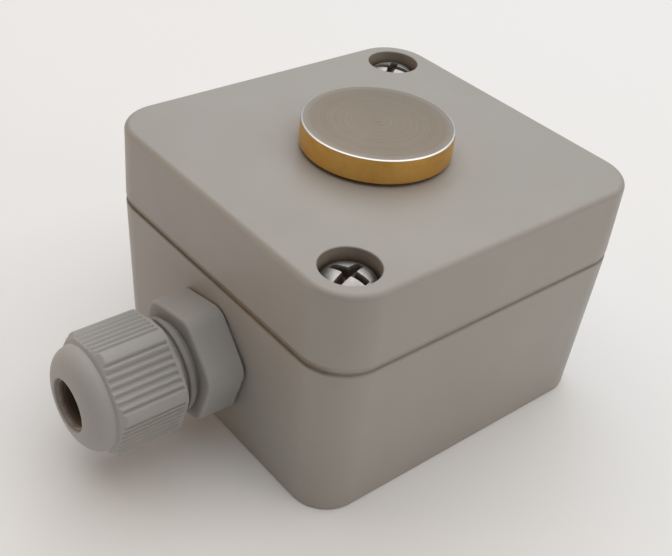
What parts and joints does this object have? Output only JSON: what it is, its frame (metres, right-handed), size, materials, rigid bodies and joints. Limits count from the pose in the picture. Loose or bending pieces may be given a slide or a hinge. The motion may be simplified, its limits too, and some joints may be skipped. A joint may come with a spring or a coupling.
{
  "type": "pedestrian push button",
  "caption": "Small surface-mounted push button box with a round metal button on its lid, recessed lid screws and a cable gland on one side.",
  "frame": {"origin": "centre of the flat back of the base, on the wall face", "axes": "+Z out of the wall through the button, -X along the cable gland away from the case, +Y to the side"},
  "size_m": [0.0721, 0.05, 0.0389],
  "materials": {
    "case_grey": "satin moulded, warm light grey",
    "gland_grey": "matt moulded polyamide, light grey",
    "brass": "satin turned",
    "turned_silver": "facing turned, fine concentric marks",
    "stainless": "cold headed, slightly worn",
    "spring_steel": "bright",
    "rubber_black": "matt",
    "rubber_grey": "matt, dark brown grey",
    "foam_black": "fine closed cell",
    "board_green": "solder mask",
    "black_plastic": "fine matt",
    "terminal_green": "satin moulded"
  },
  "bodies": {
    "case": {"base_box": "case_grey", "lid": "case_grey", "lid_gasket": "foam_black", "lid_screws": "stainless", "screw_inserts": "brass", "guide_bush": "brass", "bush_gasket": "rubber_black", "bush_nut": "brass", "return_spring": "spring_steel", "circuit_board": "board_green", "board_screws": "stainless", "terminal_block": "terminal_green", "terminal_screws": "stainless", "terminal_clamps": "brass", "switch_base": "black_plastic", "switch_cover": "spring_steel", "switch_dome": "spring_steel", "gland_body": "gland_grey", "gland_gasket": "rubber_grey", "gland_locknut": "gland_grey"},
    "button": {"button_head": "brass", "button_face_plate": "turned_silver", "stem_o_ring": "rubber_black", "stem_clip": "spring_steel"},
    "switch_key": {"switch_plunger": "black_plastic"},
    "gland_seal": {"gland_seal": "rubber_grey"},
    "gland_nut": {"gland_nut": "gland_grey"}
  },
  "joints": [
    {"name": "button_press", "type": "slide", "parent": "case", "child": "button", "axis": [0, 0, -1], "range_m": [0, 0.0004], "stiffness_N_per_m": 800, "springref_m": -0.001, "deforming": ["return_spring"]},
    {"name": "switch_press", "type": "slide", "parent": "case", "child": "switch_key", "axis": [0, 0, -1], "range_m": [0, 0.0004], "deforming": ["switch_dome"]},
    {"name": "seal_squeeze", "type": "slide", "parent": "case", "child": "gland_seal", "axis": [1, 0, 0], "range_m": [-0.003, 0.001]},
    {"name": "gland_nut_turn", "type": "hinge", "parent": "gland_seal", "child": "gland_nut", "pos_m": [-0.038, -0.0004, 0.0126], "axis": [1, 0, 0], "range_deg": [-720, 240]}
  ],
  "couplings": [
    {"joint": "switch_press", "follows": "button_press", "ratio": 1},
    {"joint": "gland_nut_turn", "follows": "seal_squeeze", "rad_per_m": 4188.8}
  ]
}
